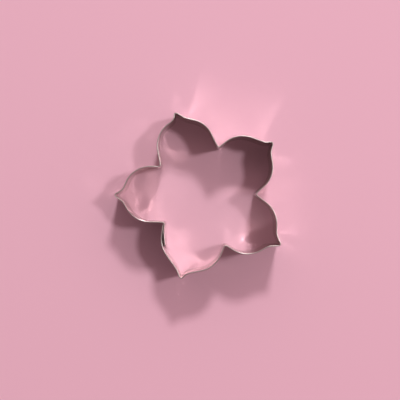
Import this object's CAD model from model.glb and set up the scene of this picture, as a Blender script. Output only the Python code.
import math
import random

import bmesh
import bpy
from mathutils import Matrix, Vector


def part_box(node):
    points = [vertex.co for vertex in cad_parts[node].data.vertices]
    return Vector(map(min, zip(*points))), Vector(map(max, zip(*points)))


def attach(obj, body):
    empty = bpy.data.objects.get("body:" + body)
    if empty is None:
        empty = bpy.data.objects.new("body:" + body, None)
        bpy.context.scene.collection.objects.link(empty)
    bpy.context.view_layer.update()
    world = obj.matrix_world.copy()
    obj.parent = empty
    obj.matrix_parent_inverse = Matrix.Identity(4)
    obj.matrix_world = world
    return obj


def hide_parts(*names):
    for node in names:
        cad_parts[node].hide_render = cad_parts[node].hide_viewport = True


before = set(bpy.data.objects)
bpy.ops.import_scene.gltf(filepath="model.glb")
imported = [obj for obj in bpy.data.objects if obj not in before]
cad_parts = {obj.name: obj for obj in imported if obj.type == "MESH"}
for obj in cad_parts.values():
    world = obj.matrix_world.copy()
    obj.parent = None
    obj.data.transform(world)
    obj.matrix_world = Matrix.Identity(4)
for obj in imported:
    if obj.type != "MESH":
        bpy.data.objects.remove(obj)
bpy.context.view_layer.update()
mm = 0.001
print("frame loaded:", ", ".join(sorted(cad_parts)))


def linear(hexColour):
    # an sRGB hex colour as linear red, green, blue and alpha
    channels = [int(hexColour[i:i + 2], 16) / 255 for i in (1, 3, 5)]
    return [c / 12.92 if c <= 0.04045 else ((c + 0.055) / 1.055) ** 2.4 for c in channels] + [1.0]


def addNode(tree, kind, settings):
    # a setting is a property, a socket's number, a socket to link from, or a ramp's stops
    node = tree.nodes.new(kind)
    for name, value in settings.items():
        if name == "stops":
            ramp = node.color_ramp
            while len(ramp.elements) < len(value):
                ramp.elements.new(1.0)
            for element, (position, colour) in zip(ramp.elements, value):
                element.position = position
                element.color = colour if isinstance(colour, list) else [colour] * 3 + [1.0]
        elif isinstance(value, bpy.types.NodeSocket):
            tree.links.new(value, node.inputs[name])
        elif isinstance(name, str) and hasattr(node, name):
            setattr(node, name, value)
        else:
            node.inputs[name].default_value = value
    return node


def newMaterial(name):
    material = bpy.data.materials.new(name)
    material.use_nodes = True
    material.node_tree.nodes.clear()
    return material, material.node_tree


# Camera: straight down from where the photograph was taken, 0.40 m over the table
view = {
    "right": 0.925 * mm, "away": -1.904 * mm, "height": 0.400,
    "imageSide": 400, "focalLength": 889.0,  # pixels: the rim comes out at 0.4275 mm a pixel
    "sensor": 36.0,
}
cameraData = bpy.data.cameras.new("camera")
cameraData.sensor_width = view["sensor"]
cameraData.lens = view["focalLength"] / view["imageSide"] * view["sensor"]
camera = bpy.data.objects.new("camera", cameraData)
camera.location = (view["right"], view["away"], view["height"])
bpy.context.scene.collection.objects.link(camera)
bpy.context.scene.camera = camera
print("camera set")


# The bent strip. Its bend line is the solid's: corners, with a bend in each.
stripShape = {  # mm and degrees
    "tipReach": 38.0, "ogeeDepth": 3.4, "ogeeSpread": 4.4,  # a petal's point, and the ogee beside it
    "bellyReach": 31.8, "bellySpread": 22.7, "notchReach": 21.7,
    "firstBearing": 253.5, "pitch": 72.0,  # the seam's petal, and the step to the next
    "tipBend": 0.85, "notchBend": 1.0, "bellyBend": 11.6, "ogeeBend": 4.9,  # radii
    "height": 20.0, "thickness": 0.5, "rimRound": 0.22,
    "land": 0.2, "bevelRise": 1.2,  # the foot's flat, and how high the bevel goes
    "seamLean": 10.0, "seamStraight": 4.8, "cornerRise": 1.3,
    "lapGap": 0.1, "lapFlat": 3.8, "lapTurn": 28.0, "lapOpen": 0.4, "lapBend": 4.0,
    "tailSlant": 1.7,      # the inner free end's foot stands this far past its rim
    "leastFreeRun": 0.02,  # share of a run that two bends leave straight between them
}
# how far each hand-bent corner strays: reach in mm, and degrees away from the petal's point
petalStray = (
    {"seam": (0.5, -1.75), "ogeeIn": (0.0, 0.3), "tip": (-0.4, 0.4),
     "ogeeOut": (0.5, -1.4), "bellyOut": (-0.3, 2.0), "notch": (1.2, 2.6)},
    {"bellyIn": (0.9, 1.1), "ogeeIn": (-0.8, 1.2), "tip": (1.2, 1.0),
     "ogeeOut": (-0.7, 0.5), "bellyOut": (-0.1, -1.4), "notch": (-0.2, -0.6)},
    {"bellyIn": (-0.9, 0.9), "ogeeIn": (0.1, 0.4), "tip": (-1.0, 0.1),
     "ogeeOut": (0.5, -0.6), "bellyOut": (-1.5, 1.9), "notch": (-0.8, 0.5)},
    {"bellyIn": (-0.9, -1.3), "ogeeIn": (-0.3, 1.1), "tip": (-0.1, 0.7),
     "ogeeOut": (0.2, -2.3), "bellyOut": (2.3, -3.2), "notch": (0.6, 2.1)},
    {"bellyIn": (2.0, -0.4), "ogeeIn": (-0.5, -0.5), "tip": (1.0, -1.5),
     "ogeeOut": (-0.5, 1.0), "bellyOut": (0.5, -1.8)},
)
welds = {  # mm
    "inset": 1.2, "pitch": 6.0, "count": 3, "dentWidth": 1.8, "dentDepth": 0.06,
    "closeRows": 0.7,  # the mesh's rows are close for this many dent widths over and under a weld
    "outerEnd": 8.0, "innerEnd": 12.0,  # how much of each layer's end the welds may mark
    "unmarked": 9.0,   # the weldDistance that the rest of the strip gets
}
surfaceDetail = {  # mm and degrees
    "wave": 0.16,        # deepest hollow that hand bending leaves in a wall
    "waves": ((5.3, 1.0, 1.1), (2.9, 0.7, -2.3), (8.7, 0.5, 3.0)),  # mm a radian, share, lean up the wall
    "waveSeed": 7,
    "waveFade": 14.0,    # the hollows fade out over this towards the seam
    "creaseReach": 0.9,  # how far a sharp bend marks the sheet beside it
    "stiffReach": 2.2,   # and how far it keeps the wall from hollowing
    "sharpBend": 0.5,    # a bend is sharp past this curvature, per mm
    "coarseStep": 0.55, "fineStep": 0.22, "fineEnds": 4.0, "bendStep": 6.0,
    "rowStep": 1.0, "weldRowStep": 0.22, "rimSteps": 4,
    "bevelRows": (0.0, 0.35, 0.7, 1.0),  # shares of the bevel's rise
    "tailPull": 0.8,     # share of the tail's last run that comes to the slant of its end
    "sharpEdge": 28.0,   # an edge past this angle is shaded as an edge
    "skin": 0.004,       # the faces lie this far inside the solid's
}


def unit(heading):
    return Vector((math.cos(heading), math.sin(heading)))


def polar(reach, bearing):
    return Vector((reach * math.cos(math.radians(bearing)), reach * math.sin(math.radians(bearing))))


def strayed(stray, reach, bearing, side=1):
    return polar(reach + stray[0], bearing + side * stray[1])


def bendLineCorners(shape):
    # (corner, radius of its bend) from the outer layer's free end round to the inner one's
    seamBearing = shape["firstBearing"] - shape["pitch"] / 2
    seamEnd = strayed(petalStray[0]["seam"], shape["notchReach"], seamBearing)
    along = shape["firstBearing"] + shape["seamLean"]
    bendStart = seamEnd + polar(shape["seamStraight"], along)
    bendCentre = bendStart + polar(shape["bellyBend"], along + 90)
    corners = [(seamEnd, 0.0)]
    for petal, stray in enumerate(petalStray):
        bearing = shape["firstBearing"] + shape["pitch"] * petal
        tip = bearing + stray["tip"][1]
        tipReach = shape["tipReach"] + stray["tip"][0]
        ogeeReach = tipReach - shape["ogeeDepth"]
        ogeeIn = strayed(stray["ogeeIn"], ogeeReach, tip - shape["ogeeSpread"], -1)
        ogeeOut = strayed(stray["ogeeOut"], ogeeReach, tip + shape["ogeeSpread"])
        bellyOut = strayed(stray["bellyOut"], shape["bellyReach"], tip + shape["bellySpread"])
        if "bellyIn" in stray:
            bellyIn = strayed(stray["bellyIn"], shape["bellyReach"], tip - shape["bellySpread"], -1)
        else:
            # the strip leaves the seam's straight in a bend that ends towards the ogee corner
            away = ogeeIn - bendCentre
            heading = math.atan2(away.y, away.x) + math.asin(shape["bellyBend"] / away.length)
            turn = math.degrees(heading) - along
            bellyIn = bendStart + polar(shape["bellyBend"] * math.tan(math.radians(turn / 2)), along)
        corners += [
            (bellyIn, shape["bellyBend"]),
            (ogeeIn, shape["ogeeBend"]),
            (polar(tipReach, tip), shape["tipBend"]),
            (ogeeOut, shape["ogeeBend"]),
            (bellyOut, shape["bellyBend"]),
        ]
        if "notch" in stray:
            notch = strayed(stray["notch"], shape["notchReach"], bearing + shape["pitch"] / 2)
            corners.append((notch, shape["notchBend"]))
    seamCorner = (seamEnd - polar(shape["cornerRise"], along)
                  + polar(shape["thickness"] + shape["lapGap"], along + 90))
    tailStart = seamCorner + polar(shape["lapFlat"], along)
    tailReach = shape["bellyBend"] - shape["thickness"] - shape["lapOpen"]
    tailEnd = bendCentre + polar(tailReach, along - 90 + shape["lapTurn"])
    return corners + [(seamCorner, shape["notchBend"]), (tailStart, shape["lapBend"]), (tailEnd, 0.0)]


def bendRadii(points, bends, turns):
    # a bend that would overlap its neighbour keeps to what that one leaves of the run between
    setbacks = [radius * math.tan(abs(turn) / 2) for radius, turn in zip(bends, turns)]
    share = [1.0] * len(points)
    for i in range(len(points) - 1):
        room = (1 - stripShape["leastFreeRun"]) * (points[i + 1] - points[i]).length
        if setbacks[i] + setbacks[i + 1] > room:
            for bent, neighbour in ((i, i + 1), (i + 1, i)):
                most = max(room / 2, room - setbacks[neighbour])
                share[bent] = min(share[bent], most / setbacks[bent])
    return [radius * part for radius, part in zip(bends, share)]


def bendLinePieces(corners):
    # straight runs and arcs in order, each (start, heading, length, curvature)
    points = [place for place, bend in corners]
    headings = [math.atan2(b.y - a.y, b.x - a.x) for a, b in zip(points, points[1:])]
    turns = [0.0]
    for before, after in zip(headings, headings[1:]):
        turns.append(math.remainder(after - before, 2 * math.pi))
    turns.append(0.0)
    radii = bendRadii(points, [bend for place, bend in corners], turns)
    pieces = []
    at = points[0]
    for i in range(1, len(points) - 1):
        setback = radii[i] * math.tan(abs(turns[i]) / 2)
        arcStart = points[i] - unit(headings[i - 1]) * setback
        curvature = math.copysign(1 / radii[i], turns[i])
        pieces.append((at, headings[i - 1], (arcStart - at).length, 0.0))
        pieces.append((arcStart, headings[i - 1], radii[i] * abs(turns[i]), curvature))
        at = points[i] + unit(headings[i]) * setback
    pieces.append((at, headings[-1], (points[-1] - at).length, 0.0))
    return pieces


def alongPiece(piece, distance):
    start, heading, length, curvature = piece
    if curvature == 0.0:
        return start + unit(heading) * distance, heading
    turned = heading + curvature * distance
    chord = Vector((math.sin(turned) - math.sin(heading), math.cos(heading) - math.cos(turned)))
    return start + chord / curvature, turned


def stripStations(pieces):
    # (distance from the outer free end, place, heading, curvature), close together in bends
    total = sum(length for start, heading, length, curvature in pieces)
    stations = []
    passed = 0.0
    for piece in pieces:
        length, curvature = piece[2], piece[3]
        step = surfaceDetail["coarseStep"]
        if min(passed, total - passed - length) < surfaceDetail["fineEnds"]:
            step = surfaceDetail["fineStep"]
        if curvature:
            step = min(step, math.radians(surfaceDetail["bendStep"]) / abs(curvature))
        count = max(1, math.ceil(length / step))
        for i in range(count):
            place, heading = alongPiece(piece, length * i / count)
            stations.append((passed + length * i / count, place, heading, curvature))
        passed += length
    place, heading = alongPiece(pieces[-1], pieces[-1][2])
    return stations + [(total, place, heading, 0.0)]


def rowHeights(weldHeights):
    # rows up one wall: the bevel's, then even ones, closer where the welds are dented
    top = stripShape["height"] - stripShape["rimRound"]
    heights = [stripShape["bevelRise"] * share for share in surfaceDetail["bevelRows"]]
    while heights[-1] < top:
        z = heights[-1]
        near = min(abs(z - weld) for weld in weldHeights) < welds["dentWidth"] * welds["closeRows"]
        heights.append(z + surfaceDetail["weldRowStep" if near else "rowStep"])
    heights[-1] = top
    return heights


def sectionAround(heights):
    # the section from the inner foot over the rim to the outer foot: (offset, height, ground)
    half = stripShape["thickness"] / 2 - surfaceDetail["skin"]
    rim = stripShape["rimRound"]
    step = 90 / surfaceDetail["rimSteps"]
    corner = [math.radians(step * (i + 1)) for i in range(surfaceDetail["rimSteps"])]
    inner = [(half, z, z <= 0.0) for z in heights]
    inner += [(half - rim * (1 - math.cos(a)), heights[-1] + rim * math.sin(a), True) for a in corner]
    outer = []
    for z in heights:
        slope = min(1.0, z / stripShape["bevelRise"])
        outer.append((half - stripShape["land"] - (2 * half - stripShape["land"]) * slope, z, slope < 1.0))
    outer += [(rim * (1 - math.cos(a)) - half, heights[-1] + rim * math.sin(a), True) for a in corner]
    return inner + outer[::-1]


def hollow(distance, height, sheet):
    # a soft hollow of the wall towards the inside, 0 to 1
    fade = min(1.0, min(distance, sheet["length"] - distance) / surfaceDetail["waveFade"])
    rise = height / stripShape["height"]
    wave = sum(share * math.sin(distance / reach + phase + lean * rise)
               for (reach, share, lean), phase in zip(surfaceDetail["waves"], sheet["phases"]))
    most = sum(share for reach, share, lean in surfaceDetail["waves"])
    return (wave / (2 * most) + 0.5) * fade * fade * (3 - 2 * fade)


def stripColumn(mesh, layers, station, section, sheet):
    # one station's vertices round the section, and their places without hollows and dents
    distance, place, heading, curvature = station
    forward = unit(heading)
    across = Vector((-forward.y, forward.x))
    fromCrease = min(abs(distance - crease) for crease in sheet["creases"])
    marked = math.exp(-(fromCrease / surfaceDetail["creaseReach"]) ** 2)
    stiff = math.exp(-(fromCrease / surfaceDetail["stiffReach"]) ** 2)
    fromEnd = distance - sheet["length"]
    pull = max(0.0, fromEnd / (sheet["tailRun"] * surfaceDetail["tailPull"]) + 1)
    onLap = distance < welds["outerEnd"] or -fromEnd < welds["innerEnd"]
    dentHalf = welds["dentWidth"] / 2
    verts, plain = [], []
    for offset, z, ground in section:
        at = place + across * offset
        at = at - forward * (stripShape["tailSlant"] * z / stripShape["height"] * pull)
        plain.append(at)
        at = at + across * (surfaceDetail["wave"] * hollow(distance, z, sheet) * (1 - stiff))
        weldAway = welds["unmarked"]
        if onLap:
            fromWeld = (at - sheet["weldPlace"]).dot(sheet["weldAlong"])
            weldAway = min(math.hypot(fromWeld, z - weldZ) for weldZ in sheet["weldHeights"])
        openFace = (offset < 0) == (distance < sheet["length"] / 2)
        if openFace and weldAway < dentHalf:
            dent = welds["dentDepth"] * (1 - (weldAway / dentHalf) ** 2)
            at = at + across * math.copysign(dent, -offset)
        vert = mesh.verts.new((at.x * mm, at.y * mm, z * mm))
        vert[layers["ground"]] = 1.0 if ground else 0.0
        vert[layers["crease"]] = marked
        vert[layers["weldDistance"]] = weldAway
        verts.append(vert)
    return verts, plain


def wrapStrip(mesh, flat, grid, section):
    # faces from station to station, laid flat in mm: along the strip, and round its section
    around = [0.0]
    for (offset, z, ground), (nextOffset, nextZ, nextGround) in zip(section, section[1:]):
        around.append(around[-1] + math.hypot(nextOffset - offset, nextZ - z))
    around.append(around[-1] + stripShape["land"])
    for (startDistance, start), (endDistance, end) in zip(grid, grid[1:]):
        for k in range(len(section)):
            after = (k + 1) % len(section)
            face = mesh.faces.new((start[k], end[k], end[after], start[after]))
            corners = ((startDistance, around[k]), (endDistance, around[k]),
                       (endDistance, around[k + 1]), (startDistance, around[k + 1]))
            for loop, corner in zip(face.loops, corners):
                loop[flat].uv = corner


def closeEnd(mesh, flat, distance, verts, turned):
    # a free end's face, in quads from the inner wall to the outer one
    last = len(verts) - 1
    for k in range(len(verts) // 2 - 1):
        quad = [verts[k], verts[k + 1], verts[last - 1 - k], verts[last - k]]
        face = mesh.faces.new(quad[::-1] if turned else quad)
        for loop in face.loops:
            loop[flat].uv = (distance, loop.vert.co.z / mm)


def addStrip():
    pieces = bendLinePieces(bendLineCorners(stripShape))
    stations = stripStations(pieces)
    weldHeights = [stripShape["height"] / 2 + welds["pitch"] * (i - (welds["count"] - 1) / 2)
                   for i in range(welds["count"])]
    section = sectionAround(rowHeights(weldHeights))
    random.seed(surfaceDetail["waveSeed"])
    weldAlong = unit(stations[0][2])
    sheet = {
        "length": stations[-1][0],
        "tailRun": pieces[-1][2],
        "creases": [distance for distance, place, heading, curvature in stations
                    if abs(curvature) > surfaceDetail["sharpBend"]],
        "phases": [random.uniform(0, 2 * math.pi) for wave in surfaceDetail["waves"]],
        "weldAlong": weldAlong,
        "weldPlace": stations[0][1] + weldAlong * welds["inset"],
        "weldHeights": weldHeights,
    }

    mesh = bmesh.new()
    layers = {name: mesh.verts.layers.float.new(name) for name in ("ground", "crease", "weldDistance")}
    flat = mesh.loops.layers.uv.new("alongStrip")
    grid = []
    plain = []  # the sheet without hollows, whose middle is the solid's
    for station in stations:
        verts, places = stripColumn(mesh, layers, station, section, sheet)
        grid.append((station[0], verts))
        plain += places
    wrapStrip(mesh, flat, grid, section)
    closeEnd(mesh, flat, *grid[0], False)
    closeEnd(mesh, flat, *grid[-1], True)
    bmesh.ops.recalc_face_normals(mesh, faces=mesh.faces)
    for face in mesh.faces:
        face.smooth = True
    sharp = math.radians(surfaceDetail["sharpEdge"])
    for edge in mesh.edges:
        if len(edge.link_faces) == 2 and edge.calc_face_angle() > sharp:
            edge.smooth = False

    # the outline's middle goes where the solid's is
    low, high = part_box("cutter_strip")
    shift = Vector((0.0, 0.0, 0.0))
    for i in (0, 1):
        reach = [at[i] * mm for at in plain]
        shift[i] = (low[i] + high[i] - min(reach) - max(reach)) / 2
    bmesh.ops.translate(mesh, verts=mesh.verts, vec=shift)
    data = bpy.data.meshes.new("bentStrip")
    mesh.to_mesh(data)
    mesh.free()
    strip = bpy.data.objects.new("bentStrip", data)
    bpy.context.scene.collection.objects.link(strip)
    print("strip bent:", len(stations), "stations,", len(section), "rows,",
          round(sheet["length"], 1), "mm long")
    return strip


def stainlessStrip():
    # Bright cold-rolled stainless steel: it reads as a soft mirror, drawn out across the faint
    # rolling lines, with hazy finger marks, fine scratches, straw and blue tints round the welds
    # and a duller ground finish on the bevel and the rim.
    look = {
        "metal": "#D0C8C2", "straw": "#B79A68", "brown": "#7C5C50", "blue": "#6E7C93",
        "toned": {"haze": ("#B8AEA7", 0.6), "crease": ("#A0958E", 0.35)},  # colour, strength
        "roughness": 0.11, "stretch": 0.35,
        "dulled": {"rolling": 0.08, "haze": 0.08, "scratch": 0.12, "ground": 0.18, "crease": 0.06},
        "relief": {"rolling": 0.0012, "scratch": -0.004, "dings": 0.02, "grinding": 0.002},  # mm
    }
    patterns = {  # size is mm along the strip and mm across it, stops turn its level to strength
        # real rolling lines are 0.02 mm wide: drawn coarser so that they show
        "rolling": {"size": (22.0, 0.14), "detail": 3.0},
        # real scratches are 0.03 mm wide: drawn coarser too
        "scratch": {"size": (6.0, 0.14), "detail": 0.0, "bend": 0.5, "stops": ((0.7, 0.0), (0.78, 1.0))},
        # where the strip was rubbed: scratches are few elsewhere
        "handled": {"size": (13.0, 7.0), "detail": 2.0, "stops": ((0.4, 0.1), (0.62, 1.0))},
        "haze": {"size": (11.0, 8.0), "detail": 3.0, "stops": ((0.42, 0.0), (0.68, 1.0))},
        "dings": {"size": (3.2, 2.6), "detail": 2.0},
        "grinding": {"size": (0.16, 2.5), "detail": 3.0},
    }
    heat = {  # mm from a weld's middle: clean in the dent, then rings that fade
        "reach": 3.0,
        "rings": ((0.6, "metal"), (0.9, "brown"), (1.26, "blue"), (1.8, "straw"), (2.4, "metal")),
        "strength": ((0.54, 0.0), (0.96, 0.5), (1.5, 0.4), (2.4, 0.0)),
    }
    material, tree = newMaterial("stainlessStrip")
    flat = addNode(tree, "ShaderNodeUVMap", {"uv_map": "alongStrip"}).outputs["UV"]

    def pattern(name, turn=0.0, shift=0.0):
        drawn = patterns[name]
        long, wide = drawn["size"]
        turned = addNode(tree, "ShaderNodeMapping", {
            "vector_type": "POINT", "Vector": flat, "Rotation": (0.0, 0.0, math.radians(turn)),
            "Location": (shift, shift, shift)}).outputs["Vector"]
        scaled = addNode(tree, "ShaderNodeMapping", {
            "vector_type": "POINT", "Vector": turned, "Scale": (1 / long, 1 / wide, 1.0)}).outputs["Vector"]
        level = addNode(tree, "ShaderNodeTexNoise", {
            "Vector": scaled, "Scale": 1.0, "Detail": drawn["detail"], "Roughness": 0.55,
            "Distortion": drawn.get("bend", 0.0)}).outputs["Fac"]
        if "stops" not in drawn:
            return level
        return addNode(tree, "ShaderNodeValToRGB", {0: level, "stops": drawn["stops"]}).outputs["Color"]

    marks = {
        "rolling": pattern("rolling"),
        "haze": pattern("haze", turn=20),
        "dings": pattern("dings", shift=31),
    }
    scratches = 0.0
    for turn, shift in ((7, 3), (-33, 47), (58, 90), (-81, 142)):  # degrees, mm
        scratches = addNode(tree, "ShaderNodeMath", {
            "operation": "MAXIMUM", 0: scratches, 1: pattern("scratch", turn, shift)}).outputs["Value"]
    marks["scratch"] = addNode(tree, "ShaderNodeMath", {
        "operation": "MULTIPLY", 0: scratches, 1: pattern("handled", shift=70)}).outputs["Value"]
    for name in ("ground", "crease"):
        marks[name] = addNode(tree, "ShaderNodeAttribute", {"attribute_name": name}).outputs["Fac"]
    marks["grinding"] = addNode(tree, "ShaderNodeMath", {
        "operation": "MULTIPLY", 0: pattern("grinding", shift=5), 1: marks["ground"]}).outputs["Value"]

    colour = linear(look["metal"])
    for name, (tone, share) in look["toned"].items():
        strength = addNode(tree, "ShaderNodeMath", {"operation": "MULTIPLY", 0: marks[name], 1: share})
        colour = addNode(tree, "ShaderNodeMix", {
            "data_type": "RGBA", 0: strength.outputs["Value"], 6: colour, 7: linear(tone)}).outputs[2]
    weldAway = addNode(tree, "ShaderNodeAttribute", {"attribute_name": "weldDistance"}).outputs["Fac"]
    part = addNode(tree, "ShaderNodeMath", {
        "operation": "DIVIDE", 0: weldAway, 1: heat["reach"]}).outputs["Value"]
    rings = [(away / heat["reach"], linear(look[name])) for away, name in heat["rings"]]
    fades = [(away / heat["reach"], level) for away, level in heat["strength"]]
    tint = addNode(tree, "ShaderNodeValToRGB", {0: part, "stops": rings}).outputs["Color"]
    strength = addNode(tree, "ShaderNodeValToRGB", {0: part, "stops": fades}).outputs["Color"]
    colour = addNode(tree, "ShaderNodeMix", {
        "data_type": "RGBA", 0: strength, 6: colour, 7: tint}).outputs[2]

    def addUp(start, amounts):
        for name, amount in amounts.items():
            start = addNode(tree, "ShaderNodeMath", {
                "operation": "MULTIPLY_ADD", 0: marks[name], 1: amount, 2: start}).outputs["Value"]
        return start

    # the rolling lines dull and brighten it evenly about its roughness
    rough = addUp(look["roughness"] - look["dulled"]["rolling"] / 2, look["dulled"])
    height = addUp(0.0, look["relief"])
    bump = addNode(tree, "ShaderNodeBump", {"Height": height, "Distance": mm, "Strength": 1.0})
    tangent = addNode(tree, "ShaderNodeTangent", {"direction_type": "UV_MAP", "uv_map": "alongStrip"})
    shader = addNode(tree, "ShaderNodeBsdfPrincipled", {
        "Base Color": colour, "Metallic": 1.0, "Roughness": rough,
        "Anisotropic": look["stretch"], "Anisotropic Rotation": 0.25,  # a quarter turn
        "Tangent": tangent.outputs["Tangent"], "Normal": bump.outputs["Normal"]})
    addNode(tree, "ShaderNodeOutputMaterial", {"Surface": shader.outputs["BSDF"]})
    return material


def fusedSteel():
    # Steel melted by the weld and set again: dull, slightly pitted and browned by the heat
    look = {
        "metal": "#8F8984", "burnt": "#5E5048", "roughness": 0.38, "burntRoughness": 0.6,
        "pitSize": 0.35, "pitDepth": 0.03,  # mm
        "pitEdges": (0.35, 0.65),
    }
    material, tree = newMaterial("fusedSteel")
    place = addNode(tree, "ShaderNodeTexCoord", {}).outputs["Object"]
    pits = addNode(tree, "ShaderNodeTexNoise", {
        "Vector": place, "Scale": 1 / (look["pitSize"] * mm), "Detail": 4.0}).outputs["Fac"]
    stops = [(edge, linear(look[name])) for edge, name in zip(look["pitEdges"], ("burnt", "metal"))]
    colour = addNode(tree, "ShaderNodeValToRGB", {0: pits, "stops": stops}).outputs["Color"]
    rough = addNode(tree, "ShaderNodeMapRange", {
        "Value": pits, "To Min": look["burntRoughness"], "To Max": look["roughness"]}).outputs["Result"]
    bump = addNode(tree, "ShaderNodeBump", {
        "Height": pits, "Distance": look["pitDepth"] * mm}).outputs["Normal"]
    shader = addNode(tree, "ShaderNodeBsdfPrincipled", {
        "Base Color": colour, "Metallic": 1.0, "Roughness": rough, "Normal": bump})
    addNode(tree, "ShaderNodeOutputMaterial", {"Surface": shader.outputs["BSDF"]})
    return material


strip = addStrip()
strip.data.materials.append(stainlessStrip())
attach(strip, "root")
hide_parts("cutter_strip")
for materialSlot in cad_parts["spot_welds"].material_slots:
    materialSlot.material = fusedSteel()
print("metal dressed")


# Studio: a plain pale floor, two soft lamps and a plain sky
studio = {
    "floor": "#EAB7C8", "floorSide": 4.0, "floorRoughness": 0.9, "floorSheen": 0.1,
    "skyTint": "#F7DADD",  # the room is warm and full of the pink floor
    "lamps": (  # direction to the lamp, its distance, width and height in metres, and watts
        {"name": "lampRight", "towards": (0.50, 0.13, 0.86), "away": 2.4,
         "width": 0.26, "height": 0.26, "power": 14.6},
        {"name": "lampAway", "towards": (0.15, 0.73, 0.66), "away": 2.4,
         "width": 0.36, "height": 0.28, "power": 28.2},
    ),
    "skyStops": ((0.0, 0.95), (0.4, 0.9), (0.72, 1.0), (0.9, 0.3), (0.97, 0.03)),  # level to overhead
    "haze": (0.04, 0.22),  # heights from evenly pale all round to where the sides differ
    "brightSide": (0.57, 0.82, 0.0), "dimmest": 0.2, "sideSpread": 0.6,  # brightest behind the lamps
    "polishBlur": 0.1,     # low, so that the polished walls throw bright patches on the floor
}


def addFloor():
    mesh = bmesh.new()
    half = studio["floorSide"] / 2
    corners = [mesh.verts.new((x * half, y * half, 0.0)) for x, y in ((-1, -1), (1, -1), (1, 1), (-1, 1))]
    mesh.faces.new(corners)
    data = bpy.data.meshes.new("floor")
    mesh.to_mesh(data)
    mesh.free()
    floor = bpy.data.objects.new("floor", data)
    bpy.context.scene.collection.objects.link(floor)
    # Painted board, rolled on: an even, matt, pale pink without gloss
    material, tree = newMaterial("paintedBoard")
    shader = addNode(tree, "ShaderNodeBsdfPrincipled", {
        "Base Color": linear(studio["floor"]), "Roughness": studio["floorRoughness"],
        "Specular IOR Level": studio["floorSheen"]})
    addNode(tree, "ShaderNodeOutputMaterial", {"Surface": shader.outputs["BSDF"]})
    data.materials.append(material)


def addLamps():
    for lamp in studio["lamps"]:
        data = bpy.data.lights.new(lamp["name"], "AREA")
        data.shape = "RECTANGLE"
        data.size = lamp["width"]
        data.size_y = lamp["height"]
        data.energy = lamp["power"]
        light = bpy.data.objects.new(lamp["name"], data)
        towards = Vector(lamp["towards"]).normalized()
        light.location = towards * lamp["away"]
        light.rotation_euler = towards.to_track_quat("Z", "Y").to_euler()
        bpy.context.scene.collection.objects.link(light)


def addSky():
    world = bpy.data.worlds.new("studioSky")
    bpy.context.scene.world = world
    world.use_nodes = True
    tree = world.node_tree
    tree.nodes.clear()
    direction = addNode(tree, "ShaderNodeTexCoord", {}).outputs["Generated"]
    upwards = addNode(tree, "ShaderNodeSeparateXYZ", {"Vector": direction}).outputs["Z"]
    tint = linear(studio["skyTint"])
    stops = [(height, [channel * level for channel in tint]) for height, level in studio["skyStops"]]
    glow = addNode(tree, "ShaderNodeValToRGB", {0: upwards, "stops": stops}).outputs["Color"]
    sideways = addNode(tree, "ShaderNodeVectorMath", {
        "operation": "DOT_PRODUCT", 0: direction, 1: studio["brightSide"]}).outputs["Value"]
    level = addNode(tree, "ShaderNodeMapRange", {
        "Value": sideways, "From Min": -studio["sideSpread"], "From Max": studio["sideSpread"],
        "To Min": studio["dimmest"]}).outputs["Result"]
    low, high = studio["haze"]
    haze = addNode(tree, "ShaderNodeMapRange", {
        "Value": upwards, "From Min": low, "From Max": high,
        "To Min": 1.0, "To Max": 0.0}).outputs["Result"]
    strength = addNode(tree, "ShaderNodeMath", {"operation": "MAXIMUM", 0: level, 1: haze}).outputs["Value"]
    sky = addNode(tree, "ShaderNodeBackground", {"Color": glow, "Strength": strength}).outputs["Background"]
    addNode(tree, "ShaderNodeOutputWorld", {"Surface": sky})


addFloor()
addLamps()
addSky()
bpy.context.scene.view_settings.view_transform = "Standard"
bpy.context.scene.cycles.blur_glossy = studio["polishBlur"]
print("studio lit")
